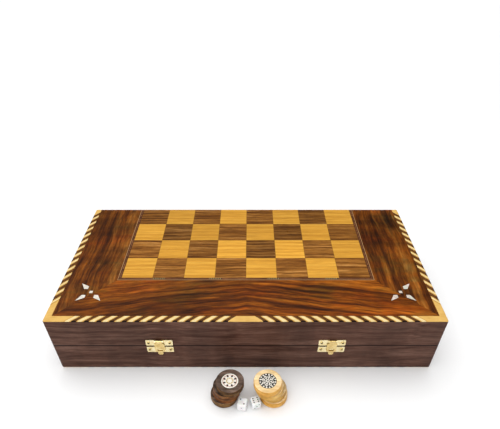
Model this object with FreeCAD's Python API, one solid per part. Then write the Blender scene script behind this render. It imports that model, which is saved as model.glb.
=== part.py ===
# Folding inlaid box for backgammon and chess, with its chequers and dice.
# Millimetres, +Z up.  The origin is the centre of the closed box's underside,
# +X runs along the hinge line and the clasps are on the -Y side.
import FreeCAD, Part
import math
import os
from FreeCAD import Vector

# Box
BOX_WIDTH = 500.0
BOX_DEPTH = 250.0
HALF_HEIGHT = 46.0
RAIL = 15.0
EDGE_ROUND = 1.5
CORNER_ROUND = 2.5
VENEER = 0.8
CORE = 6.4
PANEL_SEAT_WALL = 2.0

# Outer face: edge banding, chess squares, pearl corners
BANDING_WIDTH = 9.0
BANDING_DEPTH = 2.5
SQUARE = 42.5
SQUARE_ROWS = 4
SQUARE_COLUMNS = 8
SQUARE_BAND = 4.0
STRING_WIDTH = 0.7
PEARL_ACROSS = 0.56
PEARL_ALONG = 0.65
PEARL_REACH = 0.245
PEARL_KITE = ((1.0, 1.0), (0.35, 0.66), (0.35, 0.35), (0.66, 0.35))
PEARL_DIAMOND = 0.13

# Playing field: points and medallion
POINTS = 6
POINT_GAP = 8.7
POINT_EDGING = 4.5
POINT_TO_MEDALLION = 9.5
TIP_START = 0.727
TIP_END = 0.916
TIP_LINE = 0.6
MEDALLION = 165.0
FRAME_LINE = 3.0
MEDALLION_BORDER = 14.0
RHOMBUS_REACH = 0.824
ROSETTE_REACH = 0.69
ROSETTE_SIZE = 0.176
STAR_TIP = 0.47
STAR_WAIST = 0.35
STAR_POINTS = 10

# Butt hinges
HINGE_OFFSET = 167.0
HINGE_LENGTH = 40.0
HINGE_STAND_OFF = 0.5
KNUCKLES = 5
KNUCKLE_RADIUS = 2.5
KNUCKLE_GAP = 0.1
KNUCKLE_ROOM = 0.4
LEAF_THICKNESS = 1.2
LEAF_REACH = 13.0
LEAF_ROOM = 0.3
PIN_RADIUS = 1.2
LEAF_SCREW_INSET = 7.0

# Clasps
CLASP_OFFSET = 111.0
CLASP_WIDTH = 34.6
CLASP_HEIGHT = 10.3
CLASP_SEAM_GAP = 1.3
CLASP_SHEET = 0.9
CLASP_CORNER = 1.5
CLASP_SCREW_INSET = 3.7
BARREL_RADIUS = 1.6
BARREL_HALF = 3.6
BARREL_GAP = 0.2
BARREL_BELOW_TOP = 1.2
BARREL_WOOD_GAP = 0.4
EAR_WIDTH = 1.8
HASP_HALF = 6.5
HASP_SHOULDER = 6.4
HASP_FLARE = 2.9
HASP_ABOVE_CATCH_END = 1.5
HASP_GAP = 0.4
HASP_PIN_RADIUS = 0.6
SLOT_HALF = 3.3
SLOT_HEIGHT = 4.2
SLOT_ABOVE_END = 1.7
TAB_HALF = 3.3
TAB_BELOW_PLATE = 3.9
CATCH_HALF = 2.4
CATCH_HEIGHT = 2.2
CATCH_PROUD = 0.25

# Screws
SCREW_RADIUS = 0.9
SCREW_LENGTH = 9.0
FLUSH_HEAD_RADIUS = 1.8
FLUSH_HEAD_HEIGHT = 0.7
PAN_HEAD_RADIUS = 2.1
PAN_HEAD_HEIGHT = 0.9
PAN_HEAD_ROUND = 0.5
DRIVE_SLOT = 0.5
DRIVE_DEPTH = 0.35

# Loose pieces
CHEQUER_RADIUS = 17.5
CHEQUER_HEIGHT = 9.0
CHEQUER_ROUND = 1.2
ROSETTE_RADIUS = 11.0
ROSETTE_THICKNESS = 0.8
STORE_GAP = 1.0
STORED_STACKS = (4, 4, 3)
STACK_STAND_OFF = 27.0
STACKS_MIDDLE_X = 4.0
STACKS_APART = 11.7
DARK_LEAN = ((7.7, 0.0), (4.9, 0.5), (3.7, -1.5), (0.0, -2.0))
LIGHT_LEAN = ((8.2, 0.0), (6.6, 1.5), (2.6, -1.5), (0.0, -2.0))
DIE_SIZE = 12.0
DIE_ROUND = 1.6
DIE_CORNER_ROUND = 2.1
DIE_LEFT_TURN = -12.0
DIE_RIGHT_TURN = 17.0
DICE_APART = 2.0
DIE_STACK_GAP = 1.0
PIP_RADIUS = 0.95
PIP_DEPTH = 0.4
PIP_INSET = 3.2

# Clearances
RUNNING_FIT = 0.05
SCREW_FIT = 0.05
INLAY_FIT = 0.03
CUT_OVERRUN = 1.0

HALF_W = BOX_WIDTH / 2
HALF_D = BOX_DEPTH / 2
SEAM = HALF_HEIGHT
INNER_X = HALF_W - RAIL
INNER_Y = HALF_D - RAIL
FLOOR = VENEER + CORE + VENEER
PANEL_SEAT = RAIL - BANDING_WIDTH - PANEL_SEAT_WALL
CHESS_HALF = SQUARE * SQUARE_COLUMNS / 2
CHESS_FRONT = HALF_D - SQUARE * SQUARE_ROWS
POINT_PITCH = 2 * INNER_Y / POINTS
POINT_HALF = (POINT_PITCH - POINT_GAP) / 2
POINT_LENGTH = INNER_X - MEDALLION / 2 - POINT_TO_MEDALLION
HINGE_Y = HALF_D + HINGE_STAND_OFF
SHEET_FRONT = -HALF_D - CLASP_SHEET
HASP_BACK = SHEET_FRONT - HASP_GAP
PLATE_LOW = SEAM + CLASP_SEAM_GAP
PLATE_TOP = PLATE_LOW + CLASP_HEIGHT
CATCH_TOP = SEAM - CLASP_SEAM_GAP
CATCH_LOW = CATCH_TOP - CLASP_HEIGHT
HASP_END = CATCH_LOW + HASP_ABOVE_CATCH_END
SLOT_LOW = HASP_END + SLOT_ABOVE_END
BARREL_Y = -HALF_D - BARREL_WOOD_GAP - BARREL_RADIUS
BARREL_Z = PLATE_TOP - BARREL_BELOW_TOP
STACK_Y = -HALF_D - STACK_STAND_OFF - CHEQUER_RADIUS


def block(x0, x1, y0, y1, z0, z1):
    return Part.makeBox(x1 - x0, y1 - y0, z1 - z0, Vector(x0, y0, z0))


def prism(points, z0, z1):
    corners = [Vector(x, y, z0) for x, y in points]
    face = Part.Face(Part.makePolygon(corners + corners[:1]))
    return face.extrude(Vector(0, 0, z1 - z0))


def rod_x(radius, x0, x1, y, z):
    return Part.makeCylinder(radius, x1 - x0, Vector(x0, y, z), Vector(1, 0, 0))


def rod_z(radius, x, y, z0, z1):
    return Part.makeCylinder(radius, z1 - z0, Vector(x, y, z0))


def one(shape):
    solid = shape.Solids[0]
    if len(shape.Solids) != 1 or not solid.isValid() or solid.Volume <= 0:
        raise ValueError("expected one closed solid")
    return solid


def export(name, solids):
    shape = Part.makeCompound(solids)
    shape.exportStep("parts/" + name + ".step")


def round_ends(body, corner_round, end_round, ends):
    # Rounds the upright edges first, then the outline of each end face at the heights in ends.
    height = body.BoundBox.ZLength
    upright = [edge for edge in body.Edges if edge.BoundBox.ZLength > height / 2]
    body = body.makeFillet(corner_round, upright)
    outline = []
    for edge in body.Edges:
        box = edge.BoundBox
        if box.ZLength < end_round and any(abs(box.ZMin - z) < end_round for z in ends):
            outline.append(edge)
    return body.makeFillet(end_round, outline)


def envelope():
    # Rounded at its upright corners and all round the outer face.
    body = block(-HALF_W, HALF_W, -HALF_D, HALF_D, 0, SEAM)
    return round_ends(body, CORNER_ROUND, EDGE_ROUND, (0,))


def mitred(outer_x, inner_x, front, inner_front, back):
    # Plan outlines of a front strip and two side strips with mitred corners.
    strips = [((-outer_x, front), (outer_x, front), (inner_x, inner_front), (-inner_x, inner_front))]
    for side in (-1, 1):
        strips.append(((side * outer_x, front), (side * inner_x, inner_front),
                       (side * inner_x, back), (side * outer_x, back)))
    return strips


def leaf_screw_places():
    places = []
    for side in (-1, 1):
        for step in (-1, 1):
            x = side * HINGE_OFFSET + step * (HINGE_LENGTH / 2 - LEAF_SCREW_INSET)
            places.append((x, SEAM - (LEAF_REACH + KNUCKLE_RADIUS) / 2))
    return places


def clasp_screw_places():
    places = []
    for side in (-1, 1):
        for step in (-1, 1):
            x = side * CLASP_OFFSET + step * (CLASP_WIDTH / 2 - CLASP_SCREW_INSET)
            places.append((x, CATCH_LOW + CLASP_HEIGHT / 2))
    return places


def screw(x, face_y, z, into, head_radius, head_height, head_round):
    # A screw whose head sits on face_y and whose shank runs along into, +Y or -Y.
    way = Vector(0, into, 0)
    out = Vector(0, -into, 0)
    head = Part.makeCylinder(head_radius, head_height, Vector(x, face_y, z), out)
    top_y = face_y - into * head_height
    if head_round:
        rim = [edge for edge in head.Edges if abs(edge.BoundBox.Center.y - top_y) < head_round / 2]
        rim = [edge for edge in rim if edge.BoundBox.XLength > head_radius]
        head = head.makeFillet(head_round, rim)
    shank = Part.makeCylinder(SCREW_RADIUS, SCREW_LENGTH, Vector(x, face_y, z), way)
    reach = 2 * head_radius
    low, high = sorted((top_y, top_y + into * DRIVE_DEPTH))
    drive = block(x - DRIVE_SLOT / 2, x + DRIVE_SLOT / 2, low, high, z - reach, z + reach)
    return one(head.fuse(shank).cut(drive).removeSplitter())


def rails(body):
    x, y, t = HALF_W, HALF_D, RAIL
    front = ((-x, -y), (x, -y), (x - t, t - y), (t - x, t - y))
    back = ((-x, y), (t - x, y - t), (x - t, y - t), (x, y))
    left = ((-x, -y), (t - x, t - y), (t - x, y - t), (-x, y))
    right = ((x, -y), (x, y), (x - t, y - t), (x - t, t - y))
    seat_x = INNER_X + PANEL_SEAT
    seat_y = INNER_Y + PANEL_SEAT
    cuts = [block(-seat_x, seat_x, -seat_y, seat_y, 0, VENEER + CORE)]
    inner_x = HALF_W - BANDING_WIDTH
    inner_y = BANDING_WIDTH - HALF_D
    for strip in mitred(HALF_W, inner_x, -HALF_D, inner_y, HALF_D):
        cuts.append(prism(strip, 0, BANDING_DEPTH))
    room = KNUCKLE_RADIUS + KNUCKLE_ROOM
    half = HINGE_LENGTH / 2
    for side in (-1, 1):
        x = side * HINGE_OFFSET
        groove_end = half + LEAF_ROOM
        cuts.append(block(x - groove_end, x + groove_end, HINGE_Y - room, HALF_D, SEAM - room, SEAM))
        cuts.append(block(x - half, x + half, HALF_D - LEAF_THICKNESS, HALF_D, SEAM - LEAF_REACH, SEAM))
    hole = SCREW_RADIUS + SCREW_FIT
    depth = SCREW_LENGTH + LEAF_THICKNESS
    for x, z in leaf_screw_places():
        cuts.append(Part.makeCylinder(hole, depth, Vector(x, HALF_D, z), Vector(0, -1, 0)))
    for x, z in clasp_screw_places():
        cuts.append(Part.makeCylinder(hole, SCREW_LENGTH, Vector(x, -HALF_D, z), Vector(0, 1, 0)))
    made = []
    for outline in (front, back, left, right):
        blank = prism(outline, VENEER, SEAM).common(body)
        made.append(one(blank.cut(cuts)))
    return made


def point_places():
    places = []
    for side in (-1, 1):
        for number in range(POINTS):
            places.append((side, -INNER_Y + POINT_PITCH * (number + 0.5)))
    return places


def on_wall(side, y, points):
    return [(side * (INNER_X - along), y + across) for along, across in points]


def point_parts(side, y):
    # Outer outline, light blade and dark tip of one point, standing on a short wall.
    half, length = POINT_HALF, POINT_LENGTH
    slope = half / length
    blade_half = half - POINT_EDGING
    tip_half = slope * (length - TIP_START * length) - TIP_LINE
    outer = on_wall(side, y, ((0, -half), (0, half), (length, 0)))
    blade = on_wall(side, y, ((0, -blade_half), (0, blade_half), (blade_half / slope, 0)))
    tip_x = TIP_START * length
    tip = on_wall(side, y, ((tip_x, -tip_half), (tip_x, tip_half), (TIP_END * length, 0)))
    return outer, blade, tip


def square_outline(half, x=0.0, y=0.0):
    return ((x - half, y - half), (x + half, y - half), (x + half, y + half), (x - half, y + half))


def star_outline(tip, waist):
    points = []
    for step in range(2 * STAR_POINTS):
        radius = waist if step % 2 else tip
        angle = math.pi * step / STAR_POINTS
        points.append((radius * math.cos(angle), radius * math.sin(angle)))
    return points


def playing_field():
    low, high = VENEER + CORE, FLOOR
    parts = {"point_edging": [], "point_blades": [], "point_tips": []}
    holes = []
    for side, y in point_places():
        outer, blade, tip = point_parts(side, y)
        blade = prism(blade, low, high)
        tip = prism(tip, low, high)
        holes.append(prism(outer, low, high))
        parts["point_edging"].append(one(holes[-1].cut([blade, tip])))
        parts["point_blades"].append(one(blade))
        parts["point_tips"].append(one(tip))
    sizes = [MEDALLION / 2]
    for width in (FRAME_LINE, MEDALLION_BORDER, FRAME_LINE):
        sizes.append(sizes[-1] - width)
    plates = [prism(square_outline(size), low, high) for size in sizes]
    holes.append(plates[0])
    parts["medallion_frames"] = [one(plates[0].cut(plates[1])), one(plates[2].cut(plates[3]))]
    parts["medallion_border"] = [one(plates[1].cut(plates[2]))]
    ground = sizes[3]
    reach = RHOMBUS_REACH * ground
    rhombus = prism(((-reach, 0), (0, -reach), (reach, 0), (0, reach)), low, high)
    star = prism(star_outline(STAR_TIP * ground, STAR_WAIST * ground), low, high)
    motifs = [one(rhombus.cut(star)), one(star)]
    for side in (-1, 1):
        for end in (-1, 1):
            x, y = side * ROSETTE_REACH * ground, end * ROSETTE_REACH * ground
            motifs.append(prism(square_outline(ROSETTE_SIZE * ground, x, y), low, high))
    parts["medallion_ground"] = [one(plates[3].cut([rhombus] + motifs[2:]))]
    parts["medallion_motifs"] = motifs
    sheet = block(-INNER_X, INNER_X, -INNER_Y, INNER_Y, low, high)
    parts["field_veneer"] = [one(sheet.cut(holes))]
    return parts


def pearl_pieces():
    # Three kites and a small diamond in each corner on the clasp side.
    # Their places and size are shares of the veneer border between banding and string.
    edge = SQUARE_BAND + STRING_WIDTH + BANDING_WIDTH
    border_x = HALF_W - CHESS_HALF - edge
    border_y = HALF_D + CHESS_FRONT - edge
    across = BANDING_WIDTH + PEARL_ACROSS * border_x
    along = BANDING_WIDTH + PEARL_ALONG * border_y
    reach = PEARL_REACH * min(border_x, border_y)
    half = PEARL_DIAMOND * reach
    pieces = []
    for side in (-1, 1):
        x0 = side * (HALF_W - across)
        y0 = along - HALF_D
        for out_x, out_y in ((1, 1), (1, -1), (-1, -1)):
            kite = [(x0 + side * out_x * u * reach, y0 + out_y * v * reach) for u, v in PEARL_KITE]
            pieces.append(prism(kite, 0, VENEER))
        pieces.append(prism(square_outline(half, x0, y0), 0, VENEER))
    return pieces


def outer_face(body):
    parts = {"light_squares": [], "dark_squares": []}
    for column in range(SQUARE_COLUMNS):
        for row in range(SQUARE_ROWS):
            x = -CHESS_HALF + column * SQUARE
            y = CHESS_FRONT + row * SQUARE
            name = "light_squares" if (column + row) % 2 else "dark_squares"
            parts[name].append(one(block(x, x + SQUARE, y, y + SQUARE, 0, VENEER).common(body)))
    parts["banding"] = []
    inner_x = HALF_W - BANDING_WIDTH
    inner_y = BANDING_WIDTH - HALF_D
    for strip in mitred(HALF_W, inner_x, -HALF_D, inner_y, HALF_D):
        parts["banding"].append(one(prism(strip, 0, BANDING_DEPTH).common(body)))
    band_x = CHESS_HALF + SQUARE_BAND
    band_y = CHESS_FRONT - SQUARE_BAND
    line_x = band_x + STRING_WIDTH
    line_y = band_y - STRING_WIDTH
    parts["chess_stringing"] = []
    bands = mitred(band_x, CHESS_HALF, band_y, CHESS_FRONT, HALF_D)
    lines = mitred(line_x, band_x, line_y, band_y, HALF_D)
    for strip in bands + lines:
        parts["chess_stringing"].append(one(prism(strip, 0, VENEER).common(body)))
    parts["pearl_inlay"] = pearl_pieces()
    parts["border_veneer"] = []
    for strip in mitred(inner_x, line_x, inner_y, line_y, HALF_D):
        border = prism(strip, 0, VENEER).common(body)
        parts["border_veneer"].append(one(border.cut(parts["pearl_inlay"])))
    return parts


def half_box():
    body = envelope()
    front, back, left, right = rails(body)
    seat_x = INNER_X + PANEL_SEAT
    seat_y = INNER_Y + PANEL_SEAT
    parts = {"front_rail": [front], "back_rail": [back], "side_rails": [left, right]}
    parts["panel"] = [block(-seat_x, seat_x, -seat_y, seat_y, VENEER, VENEER + CORE)]
    parts.update(playing_field())
    parts.update(outer_face(body))
    return parts


def turned(shape):
    # The lid is the base turned over end for end about the middle of the seam.
    copy = shape.copy()
    copy.rotate(Vector(0, 0, SEAM), Vector(0, 1, 0), 180)
    return copy


def hinge_leaf(x, up):
    # up is -1 for the base's leaf, which hangs down, and +1 for the lid's.
    start = x - HINGE_LENGTH / 2
    end = x + HINGE_LENGTH / 2
    near = KNUCKLE_RADIUS + LEAF_ROOM
    inside = HALF_D - LEAF_THICKNESS
    low, high = sorted((SEAM + up * near, SEAM + up * LEAF_REACH))
    leaf = block(start, end, inside, HALF_D, low, high)
    web_low, web_high = sorted((SEAM, SEAM + up * near))
    step = HINGE_LENGTH / KNUCKLES
    joined = []
    for number in range(KNUCKLES):
        if (number % 2 == 0) == (up < 0):
            x0 = start + number * step + KNUCKLE_GAP
            x1 = start + (number + 1) * step - KNUCKLE_GAP
            joined.append(rod_x(KNUCKLE_RADIUS, x0, x1, HINGE_Y, SEAM))
            joined.append(block(x0, x1, inside, HALF_D, web_low, web_high))
    cuts = [rod_x(PIN_RADIUS + RUNNING_FIT, start - CUT_OVERRUN, end + CUT_OVERRUN, HINGE_Y, SEAM)]
    for screw_x, screw_z in leaf_screw_places():
        z = screw_z if up < 0 else 2 * SEAM - screw_z
        way = Vector(0, -1, 0)
        hole = SCREW_RADIUS + SCREW_FIT
        head = FLUSH_HEAD_RADIUS + 2 * SCREW_FIT
        cuts.append(Part.makeCylinder(hole, RAIL, Vector(screw_x, HALF_D, z), way))
        cuts.append(Part.makeCylinder(head, FLUSH_HEAD_HEIGHT, Vector(screw_x, HALF_D, z), way))
    return one(leaf.fuse(joined).cut(cuts).removeSplitter())


def rounded_plate(x, low, high):
    plate = block(x - CLASP_WIDTH / 2, x + CLASP_WIDTH / 2, SHEET_FRONT, -HALF_D, low, high)
    corners = [edge for edge in plate.Edges if abs(edge.BoundBox.YLength - CLASP_SHEET) < RUNNING_FIT]
    return plate.makeFillet(CLASP_CORNER, corners)


def screw_holes(z_of):
    hole = SCREW_RADIUS + SCREW_FIT
    cuts = []
    for x, z in clasp_screw_places():
        start = Vector(x, SHEET_FRONT - CUT_OVERRUN, z_of(z))
        cuts.append(Part.makeCylinder(hole, RAIL, start, Vector(0, 1, 0)))
    return cuts


def clasp_catch(x):
    plate = rounded_plate(x, CATCH_LOW, CATCH_TOP)
    middle = SLOT_LOW + SLOT_HEIGHT / 2
    lug = block(x - CATCH_HALF, x + CATCH_HALF, SHEET_FRONT - CATCH_PROUD, -HALF_D,
                middle - CATCH_HEIGHT / 2, middle + CATCH_HEIGHT / 2)
    return one(plate.fuse(lug).cut(screw_holes(lambda z: z)).removeSplitter())


def clasp_plate(x):
    plate = rounded_plate(x, PLATE_LOW, PLATE_TOP)
    notch = BARREL_HALF + BARREL_GAP
    below = BARREL_Z - BARREL_RADIUS - HASP_GAP
    plate = plate.cut(block(x - notch, x + notch, SHEET_FRONT, -HALF_D, below, PLATE_TOP))
    ears = []
    for side in (-1, 1):
        near, far = sorted((x + side * notch, x + side * (notch + EAR_WIDTH)))
        ears.append(rod_x(BARREL_RADIUS, near, far, BARREL_Y, BARREL_Z))
    bore = rod_x(HASP_PIN_RADIUS + RUNNING_FIT, x - CLASP_WIDTH / 2, x + CLASP_WIDTH / 2, BARREL_Y, BARREL_Z)
    holes = screw_holes(lambda z: 2 * SEAM - z)
    return one(plate.fuse(ears).cut([bore] + holes).removeSplitter())


def hasp_pin(x):
    reach = BARREL_HALF + BARREL_GAP + EAR_WIDTH
    return rod_x(HASP_PIN_RADIUS, x - reach, x + reach, BARREL_Y, BARREL_Z)


def hasp(x):
    shoulder = BARREL_Z - HASP_SHOULDER
    tab = CATCH_LOW - TAB_BELOW_PLATE
    side = ((BARREL_HALF, BARREL_Z), (BARREL_HALF, BARREL_Z - HASP_FLARE), (HASP_HALF, shoulder),
            (HASP_HALF, HASP_END + CLASP_CORNER), (HASP_HALF - CLASP_CORNER, HASP_END), (TAB_HALF, HASP_END),
            (TAB_HALF, tab + CLASP_CORNER), (TAB_HALF - CLASP_CORNER, tab))
    outline = [(x + u, z) for u, z in side] + [(x - u, z) for u, z in reversed(side)]
    corners = [Vector(u, HASP_BACK, z) for u, z in outline]
    face = Part.Face(Part.makePolygon(corners + corners[:1]))
    plate = face.extrude(Vector(0, -CLASP_SHEET, 0))
    slot = block(x - SLOT_HALF, x + SLOT_HALF, HASP_BACK - CLASP_SHEET, HASP_BACK,
                 SLOT_LOW, SLOT_LOW + SLOT_HEIGHT)
    barrel = rod_x(BARREL_RADIUS, x - BARREL_HALF, x + BARREL_HALF, BARREL_Y, BARREL_Z)
    bore = rod_x(HASP_PIN_RADIUS + RUNNING_FIT, x - HASP_HALF, x + HASP_HALF, BARREL_Y, BARREL_Z)
    return one(plate.fuse(barrel).cut([slot, bore]).removeSplitter())


def chequer(x, y, z):
    disc = rod_z(CHEQUER_RADIUS, x, y, z, z + CHEQUER_HEIGHT)
    rims = [edge for edge in disc.Edges if edge.BoundBox.XLength > CHEQUER_RADIUS]
    disc = disc.makeFillet(CHEQUER_ROUND, rims)
    top = z + CHEQUER_HEIGHT
    return one(disc.cut(rod_z(ROSETTE_RADIUS, x, y, top - ROSETTE_THICKNESS, top)))


def rosette(x, y, z):
    top = z + CHEQUER_HEIGHT
    return rod_z(ROSETTE_RADIUS - INLAY_FIT, x, y, top - ROSETTE_THICKNESS, top)


def front_stack(side, lean):
    # The lower chequers lean out to the side from under the top one.
    top_x = STACKS_APART / 2 + CHEQUER_RADIUS
    places = []
    for level, (out, dy) in enumerate(lean):
        places.append((STACKS_MIDDLE_X + side * (top_x + out), STACK_Y + dy, level * CHEQUER_HEIGHT))
    return places


def stored_places(side):
    step = 2 * CHEQUER_RADIUS + STORE_GAP
    y = INNER_Y - CHEQUER_RADIUS - STORE_GAP
    places = []
    for column, count in enumerate(STORED_STACKS):
        x = side * (INNER_X - CHEQUER_RADIUS - STORE_GAP - column * step)
        for level in range(count):
            places.append((x, y, FLOOR + level * CHEQUER_HEIGHT))
    return places


def pip_marks(count):
    s = DIE_SIZE / 2 - PIP_INSET
    marks = []
    if count % 2:
        marks.append((0, 0))
    if count > 2:
        marks += [(-s, -s), (s, s)]
    if count == 2 or count > 3:
        marks += [(-s, s), (s, -s)]
    if count > 5:
        marks += [(-s, 0), (s, 0)]
    return marks


def die_reach(turn):
    angle = math.radians(abs(turn))
    return DIE_SIZE / 2 * (math.cos(angle) + math.sin(angle))


def die_place(side, turn, chequers):
    # Beside the other die, and just clear of the chequers no higher than itself.
    x = STACKS_MIDDLE_X + side * (DICE_APART / 2 + die_reach(turn))
    clear = CHEQUER_RADIUS + die_reach(turn) + DIE_STACK_GAP
    ys = []
    for chequer_x, chequer_y, chequer_z in chequers:
        apart = abs(x - chequer_x)
        if chequer_z < DIE_SIZE and apart < clear:
            ys.append(chequer_y - math.sqrt(clear ** 2 - apart ** 2))
    return x, min(ys)


def die(place, turn, faces):
    # faces gives the pips on top, bottom, front, back, right and left.
    h = DIE_SIZE / 2
    cube = round_ends(block(-h, h, -h, h, -h, h), DIE_CORNER_ROUND, DIE_ROUND, (-h, h))
    ways = (Vector(0, 0, 1), Vector(0, 0, -1), Vector(0, -1, 0),
            Vector(0, 1, 0), Vector(1, 0, 0), Vector(-1, 0, 0))
    pips = []
    for count, way in zip(faces, ways):
        across = Vector(0, 1, 0) if way.x else Vector(1, 0, 0)
        along = Vector(0, 1, 0) if way.z else Vector(0, 0, 1)
        for u, v in pip_marks(count):
            foot = way * (h - PIP_DEPTH) + across * u + along * v
            pips.append(Part.makeCylinder(PIP_RADIUS, PIP_DEPTH + CUT_OVERRUN, foot, way))
    shape = one(cube.cut(pips))
    shape.rotate(Vector(0, 0, 0), Vector(0, 0, 1), turn)
    shape.translate(Vector(place[0], place[1], h))
    return shape


os.makedirs("parts", exist_ok=True)

for part_name, part_solids in half_box().items():
    export("base_" + part_name, part_solids)
    # Turning the half over swaps the two colours of square on the lid.
    export("lid_" + part_name, [turned(solid) for solid in part_solids])

hinge_xs = (-HINGE_OFFSET, HINGE_OFFSET)
clasp_xs = (-CLASP_OFFSET, CLASP_OFFSET)
pin_half = HINGE_LENGTH / 2
export("base_hinge_leaves", [hinge_leaf(x, -1) for x in hinge_xs])
export("lid_hinge_leaves", [hinge_leaf(x, 1) for x in hinge_xs])
export("hinge_pins", [rod_x(PIN_RADIUS, x - pin_half, x + pin_half, HINGE_Y, SEAM) for x in hinge_xs])
export("base_clasp_catches", [clasp_catch(x) for x in clasp_xs])
export("lid_clasp_plates", [clasp_plate(x) for x in clasp_xs] + [hasp_pin(x) for x in clasp_xs])
export("left_hasp", [hasp(-CLASP_OFFSET)])
export("right_hasp", [hasp(CLASP_OFFSET)])

for half_name, above in (("base", False), ("lid", True)):
    leaf_screws = []
    for x, z in leaf_screw_places():
        z = 2 * SEAM - z if above else z
        seat_y = HALF_D - FLUSH_HEAD_HEIGHT
        leaf_screws.append(screw(x, seat_y, z, -1, FLUSH_HEAD_RADIUS, FLUSH_HEAD_HEIGHT, 0))
    clasp_screws = []
    for x, z in clasp_screw_places():
        z = 2 * SEAM - z if above else z
        clasp_screws.append(screw(x, SHEET_FRONT, z, 1, PAN_HEAD_RADIUS, PAN_HEAD_HEIGHT, PAN_HEAD_ROUND))
    export(half_name + "_hinge_screws", leaf_screws)
    export(half_name + "_clasp_screws", clasp_screws)

resting_rosettes = []
front_chequers = []
for colour, side, lean in (("dark", -1, DARK_LEAN), ("light", 1, LIGHT_LEAN)):
    stack = front_stack(side, lean)
    stored = stored_places(side)
    export(colour + "_stack", [chequer(*place) for place in stack[:-1]])
    export(colour + "_stored", [chequer(*place) for place in stored])
    export(colour + "_top_chequer", [chequer(*stack[-1])])
    export(colour + "_top_rosette", [rosette(*stack[-1])])
    resting_rosettes += [rosette(*place) for place in stack[:-1] + stored]
    front_chequers += stack
export("resting_rosettes", resting_rosettes)

dice = (("die_left", -1, DIE_LEFT_TURN, (2, 5, 1, 6, 4, 3)),
        ("die_right", 1, DIE_RIGHT_TURN, (6, 1, 3, 4, 2, 5)))
for die_name, side, turn, faces in dice:
    export(die_name, [die(die_place(side, turn, front_chequers), turn, faces)])
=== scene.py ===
import math

import bpy
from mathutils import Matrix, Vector
from mathutils.geometry import delaunay_2d_cdt


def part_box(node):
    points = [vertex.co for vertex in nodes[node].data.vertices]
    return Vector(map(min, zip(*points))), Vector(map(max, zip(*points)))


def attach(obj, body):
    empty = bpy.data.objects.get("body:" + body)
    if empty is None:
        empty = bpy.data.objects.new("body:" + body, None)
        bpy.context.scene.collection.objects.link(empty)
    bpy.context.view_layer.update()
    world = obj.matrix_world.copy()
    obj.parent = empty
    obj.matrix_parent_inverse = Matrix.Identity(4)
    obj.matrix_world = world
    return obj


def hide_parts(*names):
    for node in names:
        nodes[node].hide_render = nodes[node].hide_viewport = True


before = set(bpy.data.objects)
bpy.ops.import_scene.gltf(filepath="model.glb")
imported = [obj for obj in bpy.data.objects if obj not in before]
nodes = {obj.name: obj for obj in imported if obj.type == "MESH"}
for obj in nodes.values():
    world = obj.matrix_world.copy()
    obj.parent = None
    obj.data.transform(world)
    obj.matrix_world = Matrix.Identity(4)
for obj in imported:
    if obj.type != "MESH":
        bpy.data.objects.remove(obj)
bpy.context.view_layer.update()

# Shapes are in millimetres, in the part's frame.  The lid is the base turned over end for end.
SEAM = 46.0
HALF_W = 250.0
HALF_D = 125.0
INNER_X = 235.0
INNER_Y = 110.0
FIELD = 8.0
VENEER = 0.8
CHEQUER = 9.0
STORED_PITCH = 36.0
HALVES = ("base", "lid")
ORIGIN = (0, 0, 0)

# Materials are laid out in metres.
SEAM_M = SEAM / 1000
SIDE_M = HALF_W / 1000
FRONT_M = HALF_D / 1000
SQUARE = 0.0425
BOARD_HALF = 0.17
BOARD_EDGE = -0.045


# ---- node helpers

def put(socket, value):
    if isinstance(value, bpy.types.NodeSocket):
        socket.id_data.links.new(value, socket)
    else:
        socket.default_value = value


def tree_of(values):
    # The node tree that the first linked value belongs to.
    return next(value.id_data for value in values if isinstance(value, bpy.types.NodeSocket))


def node(kind, *values, tree=None, **settings):
    made = (tree or tree_of(values)).nodes.new("ShaderNode" + kind)
    for title, setting in settings.items():
        setattr(made, title, setting)
    for socket, value in zip(made.inputs, values):
        put(socket, value)
    return made


def calc(operation, *values):
    return node("Math", *values, operation=operation).outputs[0]


def minus(value, taken):
    return calc("SUBTRACT", value, taken)


def times(value, factor):
    return calc("MULTIPLY", value, factor)


def unsigned(value):
    return calc("ABSOLUTE", value)


def away(value, middle):
    return unsigned(minus(value, middle))


def mixed(first, second, share):
    return calc("ADD", times(first, share), times(second, 1.0 - share))


def vector_calc(operation, *values):
    return node("VectorMath", *values, operation=operation).outputs[0]


def split(vector):
    return node("SeparateXYZ", vector).outputs


def join(x, y, z):
    return node("CombineXYZ", x, y, z).outputs[0]


def noise(place, scale, detail, roughness, output="Fac"):
    made = node("TexNoise", place)
    for title, value in (("Scale", scale), ("Detail", detail), ("Roughness", roughness)):
        made.inputs[title].default_value = value
    return made.outputs[output]


def drawn_noise(place, stretch, detail=3.0, roughness=0.6):
    # Noise drawn out along the axes with the smaller numbers in stretch.
    return noise(vector_calc("MULTIPLY", place, stretch), 1.0, detail, roughness)


def ease(value, low, high, to_low=0.0, to_high=1.0):
    return node("MapRange", value, low, high, to_low, to_high,
                interpolation_type="SMOOTHSTEP").outputs[0]


def ramp(level, stops, steps=False):
    made = node("ValToRGB", level)
    made.color_ramp.interpolation = "CONSTANT" if steps else "LINEAR"
    elements = made.color_ramp.elements
    elements.remove(elements[1])
    elements[0].position = stops[0][0]
    elements[0].color = (*stops[0][1], 1.0)
    for position, colour in stops[1:]:
        elements.new(position).color = (*colour, 1.0)
    return made.outputs[0]


def blend(level, first, second, mode="MIX"):
    tree = tree_of((level, first, second))
    made = node("Mix", level, tree=tree, data_type="RGBA", blend_type=mode)
    for socket, value in zip(made.inputs[6:8], (first, second)):
        put(socket, (*value, 1.0) if isinstance(value, tuple) else value)
    return made.outputs[2]


def scaled(colour, amount):
    return blend(1.0, colour, join(amount, amount, amount), "MULTIPLY")


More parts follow.
